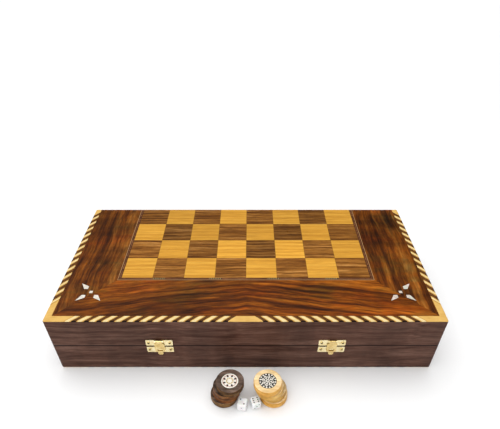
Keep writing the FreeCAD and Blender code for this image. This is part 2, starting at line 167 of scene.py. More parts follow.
def new_group(name, gives, **takes):
    # gives names each output and its kind, and takes gives each input's usual value.
    tree = bpy.data.node_groups.new(name, "ShaderNodeTree")
    for title, value in {"Place": ORIGIN, **takes}.items():
        kind = "NodeSocketVector" if isinstance(value, tuple) else "NodeSocketFloat"
        socket = tree.interface.new_socket(title, in_out="INPUT", socket_type=kind)
        socket.default_value = value
    for title, kind in gives.items():
        tree.interface.new_socket(title, in_out="OUTPUT", socket_type="NodeSocket" + kind)
    start = tree.nodes.new("NodeGroupInput")
    end = tree.nodes.new("NodeGroupOutput")
    return tree, start.outputs, end.inputs


def use(group, **values):
    made = node("Group", tree=tree_of(values.values()), node_tree=group)
    for title, value in values.items():
        put(made.inputs[title], value)
    return made.outputs


# ---- shared effects

def build_wood_grain():
    # Wandering growth streaks, the finer fibres in them, the open pores and a few dark veins.
    tree, takes, gives = new_group(
        "wood_grain", {"Streaks": "Float", "Fibres": "Float", "Pores": "Float", "Veins": "Float"},
        Stretch=(8, 130, 130), Shift=ORIGIN, Wander=0.006)
    moved = vector_calc("ADD", takes["Place"], takes["Shift"])
    drift = noise(moved, 11, 2, 0.5, "Color")
    drift = vector_calc("SUBTRACT", drift, (0.5, 0.5, 0.5))
    drift = vector_calc("MULTIPLY", drift, join(*[takes["Wander"]] * 3))
    bent = vector_calc("ADD", moved, drift)
    place = vector_calc("MULTIPLY", bent, takes["Stretch"])
    put(gives["Streaks"], ease(noise(place, 1.0, 4, 0.62), 0.25, 0.75))
    short = vector_calc("MULTIPLY_ADD", takes["Stretch"], (3, 3, 3), (40, 40, 40))
    put(gives["Fibres"], drawn_noise(bent, short, 4, 0.62))
    put(gives["Pores"], ease(noise(place, 13, 1.0, 0.5), 0.58, 0.72))
    ridge = noise(vector_calc("ADD", place, (31, 17, 5)), 0.55, 2, 0.5)
    broad = ease(noise(moved, 13, 1.0, 0.5), 0.4, 0.62)
    put(gives["Veins"], times(ease(away(ridge, 0.5), 0.045, 0.0), broad))
    return tree


def build_piece_tint():
    # One level for each separate piece of wood, laid out in cells.
    tree, takes, gives = new_group("piece_tint", {"Level": "Float", "Shift": "Vector"},
                                   Cell=(1, 1, 1), Start=ORIGIN)
    cell = vector_calc("SUBTRACT", takes["Place"], takes["Start"])
    cell = vector_calc("FLOOR", vector_calc("DIVIDE", cell, takes["Cell"]))
    made = node("TexWhiteNoise", vector_calc("ADD", cell, (0.5, 0.5, 0.5)))
    put(gives["Level"], made.outputs["Value"])
    put(gives["Shift"], made.outputs["Color"])
    return tree


def build_lacquer():
    # Wipe marks and a little dust in the finish.
    tree, takes, gives = new_group("lacquer_marks", {"Roughness": "Float"}, Base=0.35, Change=0.1)
    wipe = drawn_noise(takes["Place"], (60, 14, 60))
    smear = noise(takes["Place"], 22, 3, 0.6)
    change = times(minus(mixed(wipe, smear, 0.5), 0.5), takes["Change"])
    put(gives["Roughness"], calc("MULTIPLY_ADD", change, 3, takes["Base"]))
    return tree


def build_box_edges():
    # High along the box's outer edges and both sides of its seam.
    tree, takes, gives = new_group("box_edges", {"Mask": "Float"}, Reach=0.002)
    x, y, z = split(takes["Place"])
    side = minus(SIDE_M, unsigned(x))
    front = minus(FRONT_M, unsigned(y))
    seam = away(z, SEAM_M)
    face = minus(SEAM_M, seam)
    wall = calc("MINIMUM", side, front)
    level = calc("MINIMUM", calc("MAXIMUM", side, front),
                 calc("MAXIMUM", wall, calc("MINIMUM", seam, face)))
    rub = ease(noise(takes["Place"], 70, 4, 0.65), 0.35, 0.6)
    put(gives["Mask"], times(ease(level, takes["Reach"], 0.0), rub))
    return tree


WOOD_GRAIN = build_wood_grain()
PIECE_TINT = build_piece_tint()
LACQUER_MARKS = build_lacquer()
BOX_EDGES = build_box_edges()


# ---- materials

# How far the grain is drawn out: a small number runs along that axis.
ALONG_X = (6, 190, 190)
ALONG_Y = (190, 6, 190)
WOOD_GLOSS = 0.06


def cover(made, **values):
    shader = made.node_tree.nodes["Principled BSDF"]
    for title, value in values.items():
        put(shader.inputs[title.replace("_", " ")], value)
    return made


def start_material(name, **values):
    made = bpy.data.materials.new(name)
    made.use_nodes = True
    cover(made, **values)
    return made, node("TexCoord", tree=made.node_tree).outputs["Object"]


def start_wood(name, gloss=WOOD_GLOSS):
    return start_material(name, Specular_IOR_Level=gloss)


def raise_grain(made, height, strength, distance=0.0002):
    bump = node("Bump", strength, distance, tree=made.node_tree)
    put(bump.inputs["Height"], height)
    return cover(made, Normal=bump.outputs[0])


def grained(place, stops, stretch, wander=0.006, shift=ORIGIN, pores=0.35, fibres=0.35,
            veins=0.0):
    # A wood colour from its growth streaks, darkened by fibres, pores and veins.
    grain = use(WOOD_GRAIN, Place=place, Stretch=stretch, Wander=wander, Shift=shift)
    colour = ramp(grain["Streaks"], stops)
    thread = ease(grain["Fibres"], 0.3, 0.7, 1.0 - fibres, 1.0 + fibres * 0.5)
    colour = scaled(colour, thread)
    dark = tuple(channel * 0.25 for channel in stops[0][1])
    colour = blend(times(grain["Pores"], pores), colour, dark)
    if veins:
        colour = blend(times(grain["Veins"], veins), colour, dark)
    return colour, grain


def finish_wood(made, place, colour, grain, roughness, change=0.1):
    marks = use(LACQUER_MARKS, Place=place, Base=roughness, Change=change)
    cover(made, Base_Color=colour, Roughness=marks["Roughness"])
    return raise_grain(made, minus(grain["Fibres"], grain["Pores"]), 0.25)


def shade_by(level, colour, low, high):
    return scaled(colour, ease(level, 0.0, 1.0, low, high))


def level_faces(place, low, high):
    # High on the faces that lie flat.
    normal = place.node.outputs["Normal"]
    return ease(unsigned(split(normal)[2]), low, high)


def past_walls(x, y, side, front):
    # How far a place is outside the upright walls at side and front.
    return calc("MAXIMUM", minus(unsigned(x), side), minus(unsigned(y), front))


# The tray's wall colour, a darker walnut that is partly painted shade, begins this far inside the
# rail, in millimetres.
WALL_SKIN = 0.6


def rail_wood(name, stretch, outer, rim, inner):
    # The outer faces, the rims that meet at the seam, and the walls inside the tray, whose darker
    # walnut is partly painted shade.
    made, place = start_wood(name)
    x, y, z = split(place)
    colour, grain = grained(place, outer, stretch, 0.016, pores=0.25, fibres=0.22, veins=0.35)
    blotch = drawn_noise(place, (26, 26, 9), roughness=0.55)
    colour = shade_by(ease(blotch, 0.3, 0.7), colour, 0.82, 1.16)
    rim_colour, _ = grained(place, rim, stretch, 0.008, shift=(0.7, 0.3, 0.1))
    shaded_wall_colour, _ = grained(place, inner, stretch, 0.008, shift=(0.2, 0.9, 0.4))
    inset = past_walls(x, y, (INNER_X + WALL_SKIN) / 1000, (INNER_Y + WALL_SKIN) / 1000)
    # Partly painted shade: the walls inside the tray take the darker walnut.
    colour = blend(ease(inset, 0.0003, 0.0), colour, shaded_wall_colour)
    edges = use(BOX_EDGES, Place=place, Reach=0.0012)
    colour = blend(times(edges["Mask"], 0.35), colour, (0.16, 0.085, 0.055))
    near_seam = ease(away(z, SEAM_M), 0.0012, 0.0006)
    on_rim = times(level_faces(place, 0.6, 0.8), near_seam)
    colour = blend(on_rim, colour, rim_colour)
    # Painted shadow: a near-black line round the outside of the seam, standing in for the shade in
    # the gap between the halves.
    outmost = past_walls(x, y, SIDE_M, FRONT_M)
    seam_gap_shadow = times(near_seam, ease(outmost, -0.0011, -0.0007))
    colour = blend(seam_gap_shadow, colour, (0.006, 0.002, 0.0015))
    return finish_wood(made, place, colour, grain, 0.36, 0.12)


PURPLE_WALNUT = ((0.05, (0.058, 0.024, 0.015)), (0.4, (0.09, 0.041, 0.028)),
                 (0.65, (0.114, 0.055, 0.038)), (0.95, (0.148, 0.077, 0.055)))
SHADED_INNER_WALNUT = ((0.1, (0.018, 0.008, 0.005)), (0.5, (0.045, 0.02, 0.012)),
                (0.9, (0.085, 0.04, 0.022)))
BROWN_RIM = ((0.1, (0.062, 0.02, 0.005)), (0.5, (0.105, 0.037, 0.009)),
             (0.9, (0.155, 0.062, 0.017)))
LIGHT_RIM = ((0.1, (0.16, 0.065, 0.016)), (0.5, (0.25, 0.115, 0.03)), (0.9, (0.35, 0.178, 0.054)))
RED_RIM = ((0.1, (0.056, 0.014, 0.002)), (0.5, (0.118, 0.03, 0.005)), (0.9, (0.19, 0.058, 0.01)))

walnut_rail = rail_wood("walnut_rail", ALONG_X, PURPLE_WALNUT, BROWN_RIM, SHADED_INNER_WALNUT)
walnut_side_rail = rail_wood("walnut_side_rail", ALONG_Y, PURPLE_WALNUT, LIGHT_RIM, SHADED_INNER_WALNUT)
walnut_hinge_rail = rail_wood("walnut_hinge_rail", ALONG_X, PURPLE_WALNUT, RED_RIM, SHADED_INNER_WALNUT)


def figured_border():
    # Streaky walnut that runs along each side and meets in mitres.
    made, place = start_wood("figured_border")
    x, y, _ = split(place)
    lean = times(unsigned(x), 0.14)
    leaning = vector_calc("ADD", place, join(0.0, lean, 0.0))
    stops = ((0.05, (0.034, 0.009, 0.0015)), (0.25, (0.08, 0.022, 0.002)),
             (0.45, (0.13, 0.037, 0.003)), (0.62, (0.176, 0.055, 0.005)),
             (0.8, (0.22, 0.076, 0.01)), (1.0, (0.28, 0.115, 0.02)))
    front, grain = grained(leaning, stops, (5, 110, 60), 0.018, (0.31, 0.12, 0.0),
                           0.3, 0.42, 0.7)
    side, _ = grained(place, stops, (95, 4.5, 60), 0.016, (0.12, 0.64, 0.3), 0.3, 0.42, 0.7)
    # The front piece is made lighter and more orange than the side pieces: partly a different tone
    # of wood, partly painted light for the front being lit more.
    front = blend(1.0, front, (1.18, 0.98, 0.52), "MULTIPLY")
    side = blend(1.0, side, (0.97, 0.85, 0.66), "MULTIPLY")
    across = minus(SIDE_M, unsigned(x))
    along = calc("ADD", y, FRONT_M)
    past_mitre = minus(along, across)
    colour = blend(ease(past_mitre, -0.0001, 0.0001), front, side)
    # Painted shade: darker toward the hinges, standing in for the light falling off toward the
    # back.
    colour = shade_by(ease(y, FRONT_M, -FRONT_M), colour, 0.7, 1.0)
    warmth = vector_calc("MULTIPLY_ADD", place, (11, 34, 5), (3.1, 7.7, 0.0))
    warmth = noise(warmth, 1.0, 3, 0.6)
    cool, warm = (0.72, 1.05, 1.7), (1.25, 0.95, 0.8)
    colour = blend(ease(warmth, 0.52, 0.68, 0.0, 0.8), colour, cool, "MULTIPLY")
    colour = blend(ease(warmth, 0.46, 0.32, 0.0, 0.8), colour, warm, "MULTIPLY")
    broad = drawn_noise(place, (8, 24, 5), roughness=0.55)
    colour = shade_by(ease(broad, 0.3, 0.7), colour, 0.62, 1.35)
    glue_line = ease(unsigned(past_mitre), 0.0005, 0.0002)
    colour = blend(times(glue_line, 0.4), colour, (0.03, 0.012, 0.004))
    return finish_wood(made, place, colour, grain, 0.33, 0.12)


def square_wood(name, stops, stretch, wander, pores, fibres, low, high, painted_shading_at_hinge):
    # Each square has its own tint and a thin dark joint round it; toward the hinges its colour is
    # scaled as painted shading.
    made, place = start_wood(name)
    tint = use(PIECE_TINT, Place=place, Cell=(SQUARE, SQUARE, 0.05),
               Start=(-BOARD_HALF, BOARD_EDGE, 0.0))
    shift = vector_calc("MULTIPLY", tint["Shift"], (1.0, 1.0, 0.0))
    colour, grain = grained(place, stops, stretch, wander, shift, pores, fibres)
    colour = shade_by(tint["Level"], colour, low, high)
    x, y, _ = split(place)
    # Painted shading: the colour changes toward the hinges to stand in for how the light changes
    # toward the back.
    colour = shade_by(ease(y, FRONT_M, BOARD_EDGE), colour, painted_shading_at_hinge, 1.02)
    gaps = []
    for axis, start in ((x, -BOARD_HALF), (y, BOARD_EDGE)):
        cell = calc("FRACT", calc("DIVIDE", minus(axis, start), SQUARE))
        gaps.append(minus(0.5, away(cell, 0.5)))
    joint = ease(calc("MINIMUM", *gaps), 0.014, 0.004)
    colour = blend(times(joint, 0.45), colour, (0.05, 0.02, 0.006))
    return finish_wood(made, place, colour, grain, 0.33, 0.12)


def flat_wood(name, stops, stretch, wander=0.006, pores=0.3, fibres=0.3, roughness=0.36,
              cell=None, spread=0.12):
    made, place = start_wood(name)
    shift = ORIGIN
    if cell:
        size, start = cell
        tint = use(PIECE_TINT, Place=place, Cell=size, Start=start)
        shift = tint["Shift"]
    colour, grain = grained(place, stops, stretch, wander, shift, pores, fibres)
    if cell:
        colour = shade_by(tint["Level"], colour, 1.0 - spread, 1.0 + spread)
    return finish_wood(made, place, colour, grain, roughness)


figured_border_wood = figured_border()
# The last number for each set of squares scales its colour at the hinges: painted shading.
light_square_wood = square_wood(
    "light_square_wood",
    ((0.1, (0.51, 0.235, 0.026)), (0.5, (0.62, 0.3, 0.036)), (0.9, (0.7, 0.36, 0.05))),
    (5, 220, 100), 0.004, 0.12, 0.14, 0.93, 1.08, 0.84)
dark_square_wood = square_wood(
    "dark_square_wood",
    ((0.1, (0.08, 0.025, 0.003)), (0.4, (0.165, 0.06, 0.009)), (0.62, (0.22, 0.087, 0.014)),
     (0.8, (0.28, 0.12, 0.024)), (1.0, (0.39, 0.185, 0.052))),
    (9, 270, 100), 0.01, 0.3, 0.42, 0.72, 1.34, 1.08)


# How far out from the squares the dark lines and the pale string are.
INNER_LINE, OUTER_LINE, STRING_START = 0.0006, 0.0033, 0.0038
# The dotted runs on the clasp side: their middles along it, half their length, and their two edges.
DOTTED_MIDDLES = (-0.1185, -0.0415, 0.038, 0.117)
DOTTED_HALF = 0.0085
DOTTED_FROM, DOTTED_TO = -0.0453, -0.048
DOT_PITCH = 0.0024


def board_strings():
    # Reddish band round the squares, then a pale string with short dotted runs on the clasp side.
    made, place = start_wood("board_strings")
    x, y, _ = split(place)
    outward = calc("MAXIMUM", minus(unsigned(x), BOARD_HALF), minus(BOARD_EDGE, y))
    stops = ((0.1, (0.085, 0.03, 0.012)), (0.5, (0.155, 0.056, 0.022)), (0.9, (0.22, 0.088, 0.034)))
    colour, grain = grained(place, stops, (20, 130, 100))
    for middle in (INNER_LINE, OUTER_LINE):
        line = ease(away(outward, middle), 0.0006, 0.0003)
        colour = blend(times(line, 0.8), colour, (0.03, 0.011, 0.004))
    string = ease(outward, STRING_START, STRING_START + 0.0002)
    colour = blend(string, colour, (0.36, 0.2, 0.085))
    beads = calc("FRACT", calc("DIVIDE", x, DOT_PITCH))
    bead = ease(away(beads, 0.5), 0.2, 0.28)
    dots = blend(bead, (0.3, 0.2, 0.09), (0.007, 0.005, 0.004))
    run = 0.0
    for middle in DOTTED_MIDDLES:
        span = calc("LESS_THAN", away(x, middle), DOTTED_HALF)
        run = calc("MAXIMUM", run, span)
    run = times(run, calc("LESS_THAN", y, DOTTED_FROM))
    run = times(run, calc("GREATER_THAN", y, DOTTED_TO))
    colour = blend(run, colour, dots)
    return finish_wood(made, place, colour, grain, 0.33)


def pearl_shell():
    made, place = start_material("pearl_shell", Coat_Weight=0.6, Coat_Roughness=0.05)
    fold = drawn_noise(place, (260, 420, 200))
    lustre = noise(place, 180, 2, 0.5)
    colour = ramp(fold, ((0.25, (0.4, 0.35, 0.27)), (0.5, (0.53, 0.48, 0.39)),
                         (0.8, (0.66, 0.62, 0.53))))
    green, pink = (0.62, 0.76, 0.72), (0.86, 0.66, 0.66)
    colour = blend(ease(lustre, 0.45, 0.7, 0.0, 0.45), colour, green)
    colour = blend(ease(lustre, 0.5, 0.3, 0.0, 0.4), colour, pink)
    return cover(made, Base_Color=colour, Roughness=ease(fold, 0.3, 0.7, 0.12, 0.26))


def bright_metal(name, stops, roughness, spread, run=(90, 90, 900)):
    # Rolled sheet: fine draw lines and a cloudy tarnish.
    made, place = start_material(name, Metallic=1.0)
    lines = drawn_noise(place, run)
    cloud = noise(place, 160, 3, 0.6)
    level = ease(mixed(lines, cloud, 0.6), 0.3, 0.7, roughness, roughness + spread)
    cover(made, Base_Color=ramp(cloud, stops), Roughness=level)
    return raise_grain(made, lines, 0.12, 0.00005)


# Where the clasps' screws are, in metres: from the middle, the clasp's middle and the seam.
CLASP_X, SCREW_X, SCREW_Z = 0.111, 0.0136, 0.00645


def clasp_screw_brass():
    # Heads bright round the rim and dark in the middle.
    made, place = start_material("clasp_screw_brass", Metallic=1.0)
    x, _, z = split(place)
    across = minus(away(unsigned(x), CLASP_X), SCREW_X)
    along = minus(away(z, SEAM_M), SCREW_Z)
    reach = calc("MULTIPLY_ADD", across, across, times(along, along))
    cloud = noise(place, 700, 3, 0.6)
    head_reach = calc("ADD", calc("SQRT", reach), times(minus(cloud, 0.5), 0.0006))
    dark = ramp(cloud, ((0.3, (0.018, 0.011, 0.004)), (0.7, (0.055, 0.034, 0.012))))
    colour = blend(ease(head_reach, 0.0011, 0.0015), dark, (0.84, 0.66, 0.31))
    level = ease(head_reach, 0.0011, 0.0015, 0.45, 0.24)
    return cover(made, Base_Color=colour, Roughness=level)


# The first place of a stored row begins this far from the middle, in millimetres.
STORED_START = 18.5
STACK_COUNT = 4


def chequer_wood(name, side_stops, top_stops, hues, fibres):
    # Each disc is a different piece of wood, sanded paler or darker on its faces.
    made, place = start_wood(name)
    x, y, z = split(place)
    stored = calc("GREATER_THAN", y, 0.0)
    across = times(unsigned(x), stored)
    height = minus(z, calc("MULTIPLY_ADD", stored, FIELD / 1000, 0.00005))
    tint = use(PIECE_TINT, Place=join(across, y, height),
               Cell=(STORED_PITCH / 1000, FRONT_M, CHEQUER / 1000),
               Start=(STORED_START / 1000, -2 * FRONT_M, 0.0))
    side, grain = grained(place, side_stops, (60, 60, 260), 0.012, tint["Shift"],
                          fibres, fibres)
    face, _ = grained(place, top_stops, (24, 120, 90), 0.012, tint["Shift"], fibres, fibres)
    level = calc("DIVIDE", height, STACK_COUNT * CHEQUER / 1000)
    side = blend(1.0, side, ramp(level, hues, steps=True), "MULTIPLY")
    colour = blend(level_faces(place, 0.55, 0.9), side, face)
    colour = shade_by(tint["Level"], colour, 0.82, 1.15)
    return finish_wood(made, place, colour, grain, 0.42, 0.12)


def dice_white():
    made, place = start_material(
        "dice_white", Subsurface_Weight=0.15, Subsurface_Scale=0.002, Coat_Weight=0.5,
        Coat_Roughness=0.06)
    cloud = noise(place, 320, 2, 0.5)
    colour = ramp(cloud, ((0.3, (0.8, 0.8, 0.79)), (0.7, (0.88, 0.88, 0.88))))
    return cover(made, Base_Color=colour, Roughness=ease(cloud, 0.3, 0.7, 0.14, 0.24))


CHIP = 0.0026


def mosaic_chips():
    # Small lozenges of stained wood, bone and brass wire set edge to edge.
    made, place = start_wood("mosaic_chips")
    x, y, _ = split(place)
    diagonal = join(calc("ADD", x, y), minus(x, y), 0.0)
    chip = use(PIECE_TINT, Place=diagonal, Cell=(CHIP, CHIP, 1.0))
    stops = ((0.0, (0.086, 0.062, 0.014)), (0.2, (0.19, 0.135, 0.034)),
             (0.46, (0.27, 0.182, 0.054)), (0.62, (0.026, 0.017, 0.005)),
             (0.78, (0.37, 0.235, 0.088)), (0.9, (0.24, 0.085, 0.045)),
             (0.95, (0.45, 0.34, 0.19)))
    cloud = noise(place, 260, 3, 0.6)
    colour = shade_by(cloud, ramp(chip["Level"], stops, steps=True), 0.7, 1.3)
    return cover(made, Base_Color=colour, Roughness=ease(cloud, 0.3, 0.7, 0.28, 0.42))


def stained(name, low, high, roughness=0.34):
    made, place = start_wood(name, WOOD_GLOSS / 3)
    fibre = drawn_noise(place, (120, 700, 700))
    cloud = noise(place, 90, 2, 0.5)
    colour = ramp(mixed(fibre, cloud, 0.6), ((0.3, low), (0.7, high)))
    level = ease(cloud, 0.3, 0.7, roughness - 0.06, roughness + 0.08)
    cover(made, Base_Color=colour, Roughness=level)
    return raise_grain(made, fibre, 0.15, 0.0001)


strings = board_strings()
pearl = pearl_shell()
brass = bright_metal(
    "lacquered_brass",
    ((0.3, (0.86, 0.68, 0.32)), (0.55, (0.95, 0.82, 0.48)), (0.8, (0.98, 0.9, 0.62))), 0.2, 0.14)
# Painted shade: the hasps are a deeper gold copy of the plates' brass, standing in for the shading
# on them.
hasp_brass = bright_metal(
    "hasp_brass",
    ((0.3, (0.64, 0.44, 0.15)), (0.55, (0.82, 0.62, 0.27)), (0.8, (0.92, 0.77, 0.4))), 0.18, 0.14)
screw_brass = clasp_screw_brass()
steel = bright_metal("aged_steel", ((0.3, (0.22, 0.195, 0.165)), (0.7, (0.33, 0.3, 0.26))),
                     0.26, 0.18, (90, 90, 1400))
dark_chequer = chequer_wood(
    "dark_chequer_wood",
    ((0.1, (0.04, 0.018, 0.007)), (0.4, (0.115, 0.048, 0.013)), (0.7, (0.22, 0.092, 0.024)),
     (0.95, (0.3, 0.16, 0.062))),
    ((0.1, (0.038, 0.024, 0.017)), (0.5, (0.09, 0.058, 0.042)), (0.9, (0.16, 0.105, 0.078))),
    ((0.0, (1.05, 1.25, 1.5)), (0.25, (1.2, 0.92, 0.72)), (0.5, (0.82, 0.72, 0.7)),
     (0.75, (0.62, 0.66, 0.65))), 0.4)
light_chequer = chequer_wood(
    "light_chequer_wood",
    ((0.1, (0.5, 0.26, 0.055)), (0.5, (0.66, 0.38, 0.1)), (0.9, (0.8, 0.54, 0.2))),
    ((0.1, (0.62, 0.41, 0.18)), (0.5, (0.72, 0.51, 0.25)), (0.9, (0.82, 0.62, 0.36))),
    ((0.0, (1.0, 0.9, 0.7)), (0.25, (1.05, 0.98, 0.8)), (0.5, (0.98, 0.95, 0.85)),
     (0.75, (1.05, 0.95, 0.75))), 0.16)
dice = dice_white()
chips = mosaic_chips()
# Tint cells of the field's strips and of the blades: (size, start), in metres.
STRIP_CELLS = ((0.165, 0.036667, 10), (-0.0825, -0.091667, 0.0))
BLADE_CELLS = ((0.235, 0.036667, 10), (-0.235, -0.11, 0.0))
field_wood = flat_wood(
    "field_wood",
    ((0.05, (0.12, 0.037, 0.005)), (0.3, (0.22, 0.076, 0.009)), (0.55, (0.32, 0.12, 0.014)),
     (0.8, (0.41, 0.17, 0.023)), (1.0, (0.48, 0.22, 0.038))),
    (8, 190, 60), 0.01, 0.3, 0.35, 0.3, STRIP_CELLS, 0.22)
blade_wood = flat_wood(
    "blade_wood",
    ((0.1, (0.56, 0.23, 0.018)), (0.5, (0.76, 0.37, 0.032)), (0.9, (0.85, 0.49, 0.07))),
    (9, 260, 100), 0.004, 0.1, 0.2, 0.32, BLADE_CELLS, 0.17)
black_wood = stained("black_wood", (0.003, 0.002, 0.0015), (0.009, 0.007, 0.005))
pale_wood = stained("pale_wood", (0.2, 0.12, 0.035), (0.34, 0.21, 0.078))
cream_wood = stained("cream_wood", (0.38, 0.27, 0.105), (0.54, 0.4, 0.18))
orange_wood = stained("orange_wood", (0.26, 0.108, 0.015), (0.38, 0.175, 0.032))
gold_wood = stained("gold_wood", (0.215, 0.108, 0.02), (0.345, 0.19, 0.048))
yellow_wood = stained("yellow_wood", (0.52, 0.36, 0.085), (0.68, 0.5, 0.16))
crimson_wood = stained("crimson_wood", (0.085, 0.006, 0.003), (0.155, 0.012, 0.006))
maroon_wood = stained("maroon_wood", (0.155, 0.014, 0.006), (0.25, 0.026, 0.011))
olive_wood = stained("olive_wood", (0.022, 0.019, 0.006), (0.06, 0.05, 0.018))
bone = stained("bone", (0.6, 0.56, 0.48), (0.8, 0.77, 0.7), 0.28)
old_bone = stained("old_bone", (0.27, 0.22, 0.12), (0.43, 0.37, 0.23), 0.3)
rose_bone = stained("rose_bone", (0.26, 0.095, 0.07), (0.42, 0.19, 0.14), 0.3)
plywood = flat_wood("plywood", ((0.2, (0.3, 0.19, 0.09)), (0.8, (0.48, 0.33, 0.17))), ALONG_X)
strand_gold = stained("strand_gold", (0.4, 0.2, 0.04), (0.58, 0.33, 0.085), 0.32)
strand_cream = stained("strand_cream", (0.62, 0.46, 0.19), (0.78, 0.64, 0.34), 0.32)
strand_plain = stained("strand_plain", (0.54, 0.31, 0.078), (0.69, 0.44, 0.135), 0.32)
strand_brown = stained("strand_brown", (0.07, 0.026, 0.009), (0.15, 0.06, 0.018), 0.32)
pip_black = stained("pip_black", (0.006, 0.006, 0.006), (0.014, 0.014, 0.015), 0.3)


# ---- nodes that keep the frame's shape

def coat(name, material):
    slots = nodes[name].data.materials
    slots.clear()
    slots.append(material)


HALF_MATERIALS = (
    (walnut_rail, "front_rail"), (walnut_hinge_rail, "back_rail"), (walnut_side_rail, "side_rails"),
    (plywood, "panel"), (field_wood, "field_veneer"), (blade_wood, "point_blades"),
    (black_wood, "point_tips", "medallion_frames"), (light_square_wood, "light_squares"),
    (dark_square_wood, "dark_squares"), (strings, "chess_stringing"), (pearl, "pearl_inlay"),
    (figured_border_wood, "border_veneer"), (steel, "hinge_leaves", "hinge_screws"),
    (screw_brass, "clasp_screws"))
SHARED_MATERIALS = (
    (steel, "hinge_pins"), (brass, "base_clasp_catches", "lid_clasp_plates"),
    (hasp_brass, "left_hasp", "right_hasp"), (dice, "die_left", "die_right"),
    (dark_chequer, "dark_stack", "dark_stored", "dark_top_chequer"),
    (light_chequer, "light_stack", "light_stored", "light_top_chequer"))
for material, *names in HALF_MATERIALS:
    for name in names:
        for half in HALVES:
            coat(half + "_" + name, material)
for material, *names in SHARED_MATERIALS:
    for name in names:
        coat(name, material)


def soften(name, width):
    shape = nodes[name]
    weld = shape.modifiers.new("weld", "WELD")
    weld.merge_threshold = 0.000002
    bevel = shape.modifiers.new("soft_edges", "BEVEL")
    bevel.width = width
    bevel.segments = 2
    bevel.limit_method = "ANGLE"
    bevel.angle_limit = math.radians(50)
    bevel.harden_normals = True


for half in HALVES:
    for rail in ("front_rail", "back_rail", "side_rails"):
        soften(half + "_" + rail, 0.0005)


# ---- making pieces

def stand(name, data, place=ORIGIN, turn=ORIGIN):
    made = bpy.data.objects.new(name, data)
    made.location = place
    made.rotation_euler = turn
    bpy.context.collection.objects.link(made)
    return made


def turned(point):
    x, y, z = point
    return (-x, y, 2 * SEAM - z)


def make_piece(name, body, points, faces, woods, wood_numbers, half="base", smooth=0.0):
    # points are millimetres on the base half, turned over for the lid.
    if half == "lid":
        points = [turned(point) for point in points]
    mesh = bpy.data.meshes.new(name)
    mesh.from_pydata([Vector(point) / 1000 for point in points], [], faces)
    for wood in woods:
        mesh.materials.append(wood)
    mesh.polygons.foreach_set("material_index", wood_numbers)
    if smooth:
        mesh.shade_smooth()
        mesh.set_sharp_from_angle(angle=math.radians(smooth))
    mesh.update()
    piece = stand(name, mesh)
    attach(piece, body)
    return piece


def half_piece(half, name, parts, replaced, smooth=0.0):
    piece = make_piece(half + "_" + name, half, *parts, half, smooth)
    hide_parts(half + "_" + replaced)


def facing_up(outline):
    area = sum(a[0] * b[1] - b[0] * a[1] for a, b in zip(outline, outline[1:] + outline[:1]))
    return outline if area > 0 else outline[::-1]


def marquetry(shapes, low, high):
    # Flush inlay: each (outline, wood) lies over those before it, and wood None is left open.
    flat, outlines = [], []
    for outline, _ in shapes:
        outline = facing_up(list(outline))
        outlines.append(list(range(len(flat), len(flat) + len(outline))))
        flat += [Vector(point) for point in outline]
    spots, _, cells, _, _, owners = delaunay_2d_cdt(flat, [], outlines, 1, 0.0001)
    woods, kept, numbers = [], [], []
    for cell, owner in zip(cells, owners):
        wood = shapes[max(owner)][1] if owner else None
        if wood is None:
            continue
        if wood not in woods:
            woods.append(wood)
        kept.append(list(cell))
        numbers.append(woods.index(wood))
    count = len(spots)
    points = [(x, y, high) for x, y in spots] + [(x, y, low) for x, y in spots]
    faces = kept + [[corner + count for corner in reversed(cell)] for cell in kept]
    numbers = numbers * 2
    edges = {}
    for cell, number in zip(kept, numbers):
        for a, b in zip(cell, cell[1:] + cell[:1]):
            edges[(a, b)] = number
    for (a, b), number in edges.items():
        if (b, a) not in edges:
            faces.append([b, a, a + count, b + count])
            numbers.append(number)
    return points, faces, woods, numbers


def around(count, start=0.0):
    return [start + 2 * math.pi * k / count for k in range(count)]


def circle(radius, x=0.0, y=0.0, sides=24, start=0.0):
    return [(x + radius * math.cos(angle), y + radius * math.sin(angle))
            for angle in around(sides, start)]


def star(tip, waist, count):
    points = []
    for step in range(2 * count):
        radius = waist if step % 2 else tip
        angle = math.pi * step / count
        points.append((radius * math.cos(angle), radius * math.sin(angle)))
    return points


def oblong(left, front, right, back):
    return [(left, front), (right, front), (right, back), (left, back)]


def square(half, x=0.0, y=0.0):
    return oblong(x - half, y - half, x + half, y + half)


def petal(near, far, width, angle, x=0.0, y=0.0, widest=0.6):
    # A kite that points away from (x, y).
    out = (math.cos(angle), math.sin(angle))
    across = (-out[1], out[0])
    middle = near + (far - near) * widest
    return [(x + out[0] * reach + across[0] * side, y + out[1] * reach + across[1] * side)
            for reach, side in ((near, 0.0), (middle, -width), (far, 0.0), (middle, width))]


# ---- rope banding

BANDING_WIDTH = 9.0
BANDING_DEPTH = 2.5
EDGE_ROUND = 1.5
CORNER_ROUND = 2.5
ROUND_STEP = math.pi / 8
STRAND_LEAN = 10.0
TWISTS = 13
# Where the twists begin and end, from the front corner along the side and along the front.
SIDE_RUN = (27.0, 231.0)
FRONT_RUN = (26.0, 228.0)
GOLD_STRAND, CREAM_STRAND, BROWN_STRAND, PLAIN_STRIP, BLACK_STRAND, RAIL_SIDE = range(6)
# Where each strand of a twist ends, as a share of it at the banding's edges and at its middle.
FRONT_TWIST = ((0.02, -0.01, BLACK_STRAND), (0.12, 0.1, GOLD_STRAND), (0.47, 0.49, CREAM_STRAND),
               (0.6, 0.62, GOLD_STRAND), (0.66, 0.68, BLACK_STRAND), (0.95, 0.95, BROWN_STRAND))
SIDE_TWIST = ((0.02, -0.01, BLACK_STRAND), (0.18, 0.15, GOLD_STRAND), (0.38, 0.4, CREAM_STRAND),
              (0.52, 0.54, GOLD_STRAND), (0.58, 0.6, BLACK_STRAND), (0.95, 0.95, BROWN_STRAND))
